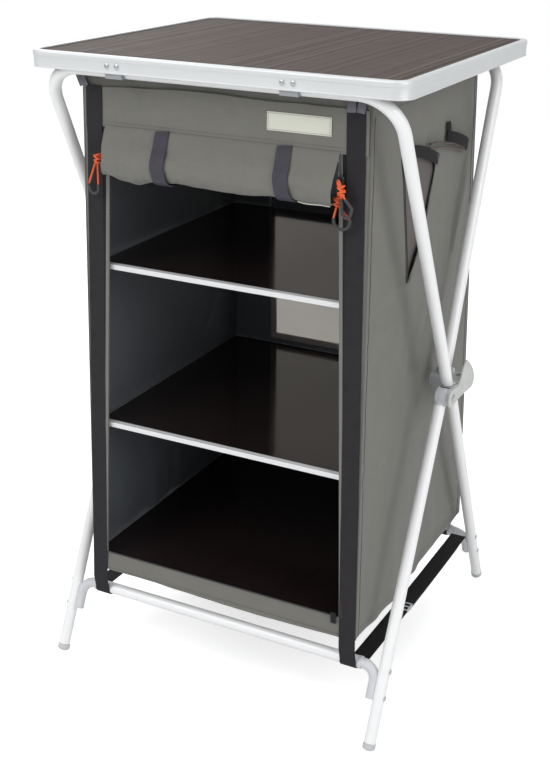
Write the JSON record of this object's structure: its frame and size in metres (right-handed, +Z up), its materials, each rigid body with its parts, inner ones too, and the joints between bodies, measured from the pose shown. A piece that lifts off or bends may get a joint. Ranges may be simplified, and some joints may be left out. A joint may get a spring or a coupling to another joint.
{
  "type": "folding camping cupboard",
  "caption": "Folding camp cupboard: railed table top on knee-jointed tube legs with a hanging fabric cabinet, shelves and rolled door.",
  "frame": {"origin": "on the floor, under the middle of the object", "axes": "+X to the object's right seen from its open front, +Y to its back, +Z up"},
  "size_m": [0.6264, 0.5918, 1.0236],
  "materials": {
    "striped_board": "laminate, dark grey-brown with fine stripes",
    "satin_aluminium": "satin, pale",
    "grey_plastic": "moulded",
    "latch_plastic": "moulded, warm grey",
    "grey_olive_fabric": "coated polyester, plain weave",
    "slate_lining": "dark coated lining",
    "window_mesh": "pale open weave",
    "charcoal_webbing": "ribbed webbing",
    "dark_shelf": "glossy, near black-brown",
    "zip_metal": "satin black",
    "orange_cord": "braided cord"
  },
  "bodies": {
    "table": {"table_board": "striped_board", "table_rail": "satin_aluminium", "saddle_front_left": "grey_plastic", "saddle_front_right": "grey_plastic", "saddle_back_left": "grey_plastic", "saddle_back_right": "grey_plastic", "side_wall_left": "grey_olive_fabric", "side_wall_right": "grey_olive_fabric", "front_panel": "grey_olive_fabric", "back_wall": "slate_lining", "back_window": "window_mesh", "door_roll": "grey_olive_fabric", "door_tie_left": "charcoal_webbing", "door_tie_right": "charcoal_webbing", "strap_front_left": "charcoal_webbing", "strap_front_right": "charcoal_webbing", "strap_back_left": "charcoal_webbing", "strap_back_right": "charcoal_webbing", "bottom_strap_left": "charcoal_webbing", "bottom_strap_right": "charcoal_webbing"},
    "upper_cloth": {"side_strap_right": "charcoal_webbing"},
    "front_upper": {"front_upper_frame": "satin_aluminium", "front_fork_left": "grey_plastic", "front_fork_right": "grey_plastic"},
    "front_lower": {"front_leg_left": "satin_aluminium", "front_leg_right": "satin_aluminium", "front_barrel_left": "grey_plastic", "front_barrel_right": "grey_plastic", "front_bottom_bar": "satin_aluminium", "front_elbow_left": "grey_plastic", "front_elbow_right": "grey_plastic", "front_foot_left": "grey_plastic", "front_foot_right": "grey_plastic"},
    "back_upper": {"back_upper_frame": "satin_aluminium", "back_fork_left": "grey_plastic", "back_fork_right": "grey_plastic"},
    "back_lower": {"back_leg_left": "satin_aluminium", "back_leg_right": "satin_aluminium", "back_barrel_left": "grey_plastic", "back_barrel_right": "grey_plastic", "back_bottom_bar": "satin_aluminium", "back_elbow_left": "grey_plastic", "back_elbow_right": "grey_plastic", "back_foot_left": "grey_plastic", "back_foot_right": "grey_plastic"},
    "latch_left": {"latch_left": "latch_plastic"},
    "latch_right": {"latch_right": "latch_plastic"},
    "shelf_top": {"shelf_top_board": "dark_shelf", "shelf_top_strip": "satin_aluminium"},
    "shelf_middle": {"shelf_middle_board": "dark_shelf", "shelf_middle_strip": "satin_aluminium"},
    "floor": {"floor_board": "dark_shelf"},
    "strap_adjusters": {"strap_adjuster_left": "grey_plastic", "strap_adjuster_right": "grey_plastic"},
    "zip_slider_left": {"zip_slider_left": "zip_metal"},
    "zip_pull_left": {"zip_pull_left": "orange_cord"},
    "zip_slider_right_upper": {"zip_slider_right_upper": "zip_metal"},
    "zip_pull_right_upper": {"zip_pull_right_upper": "orange_cord"},
    "zip_slider_right_lower": {"zip_slider_right_lower": "zip_metal"},
    "zip_pull_right_lower": {"zip_pull_right_lower": "orange_cord"}
  },
  "joints": [
    {"name": "front_fold", "type": "hinge", "parent": "table", "child": "front_upper", "pos_m": [0, -0.2468, 1], "axis": [1, 0, 0], "range_deg": [0, 59.5], "deforming": ["side_wall_left", "side_wall_right", "front_panel", "back_wall", "back_window", "door_roll", "door_tie_left", "door_tie_right", "strap_front_left", "strap_front_right", "strap_back_left", "strap_back_right", "bottom_strap_left", "bottom_strap_right"]},
    {"name": "front_knee", "type": "hinge", "parent": "front_upper", "child": "front_lower", "pos_m": [0, -0.044, 0.51], "axis": [1, 0, 0], "range_deg": [-119.2, 0]},
    {"name": "back_fold", "type": "hinge", "parent": "table", "child": "back_upper", "pos_m": [0, 0.2468, 1], "axis": [1, 0, 0], "range_deg": [-59.6, 0]},
    {"name": "back_knee", "type": "hinge", "parent": "back_upper", "child": "back_lower", "pos_m": [0, 0.044, 0.51], "axis": [1, 0, 0], "range_deg": [0, 119.2]},
    {"name": "latch_left_swing", "type": "hinge", "parent": "front_lower", "child": "latch_left", "pos_m": [-0.309, -0.044, 0.51], "axis": [1, 0, 0], "range_deg": [-60, 0]},
    {"name": "latch_right_swing", "type": "hinge", "parent": "front_lower", "child": "latch_right", "pos_m": [0.309, -0.044, 0.51], "axis": [1, 0, 0], "range_deg": [-60, 0]},
    {"name": "shelf_top_lift", "type": "slide", "parent": "table", "child": "shelf_top", "axis": [0, 0, 1], "range_m": [0, 0.2702]},
    {"name": "shelf_middle_lift", "type": "slide", "parent": "table", "child": "shelf_middle", "axis": [0, 0, 1], "range_m": [0, 0.5086]},
    {"name": "floor_lift", "type": "slide", "parent": "table", "child": "floor", "axis": [0, 0, 1], "range_m": [0, 0.7228]},
    {"name": "strap_adjusters_lift", "type": "slide", "parent": "table", "child": "strap_adjusters", "axis": [0, 0, 1], "range_m": [0, 0.7929]},
    {"name": "upper_cloth_lift", "type": "slide", "parent": "table", "child": "upper_cloth", "axis": [0, 0, 1], "range_m": [0, 0.0958]},
    {"name": "zip_run_left", "type": "slide", "parent": "upper_cloth", "child": "zip_slider_left", "axis": [-0.0403, -0.03, -0.9987], "range_m": [0, 0.6]},
    {"name": "zip_run_right_upper", "type": "slide", "parent": "upper_cloth", "child": "zip_slider_right_upper", "axis": [0.0403, -0.03, -0.9987], "range_m": [-0.03, 0.004]},
    {"name": "zip_run_right_lower", "type": "slide", "parent": "upper_cloth", "child": "zip_slider_right_lower", "axis": [0.0403, -0.03, -0.9987], "range_m": [0, 0.59]},
    {"name": "zip_pull_swing_left", "type": "hinge", "parent": "zip_slider_left", "child": "zip_pull_left", "pos_m": [-0.19454, -0.23539, 0.875], "axis": [-1, 0, 0], "range_deg": [0, 110]},
    {"name": "zip_pull_swing_right_upper", "type": "hinge", "parent": "zip_slider_right_upper", "child": "zip_pull_right_upper", "pos_m": [0.19429, -0.24161, 0.881], "axis": [-1, 0, 0], "range_deg": [0, 110]},
    {"name": "zip_pull_swing_right_lower", "type": "hinge", "parent": "zip_slider_right_lower", "child": "zip_pull_right_lower", "pos_m": [0.19502, -0.23575, 0.863], "axis": [-1, 0, 0], "range_deg": [0, 110]}
  ],
  "couplings": [
    {"joint": "front_knee", "follows": "front_fold", "ratio": -2},
    {"joint": "back_fold", "follows": "front_fold", "ratio": -1},
    {"joint": "back_knee", "follows": "front_fold", "ratio": 2},
    {"joint": "shelf_top_lift", "follows": "front_fold", "m_per_rad": 0.25944},
    {"joint": "shelf_middle_lift", "follows": "front_fold", "m_per_rad": 0.48896},
    {"joint": "floor_lift", "follows": "front_fold", "m_per_rad": 0.69527},
    {"joint": "strap_adjusters_lift", "follows": "front_fold", "m_per_rad": 0.76275},
    {"joint": "upper_cloth_lift", "follows": "front_fold", "m_per_rad": 0.09148},
    {"joint": "zip_pull_swing_right_lower", "follows": "zip_pull_swing_right_upper", "ratio": 1}
  ]
}
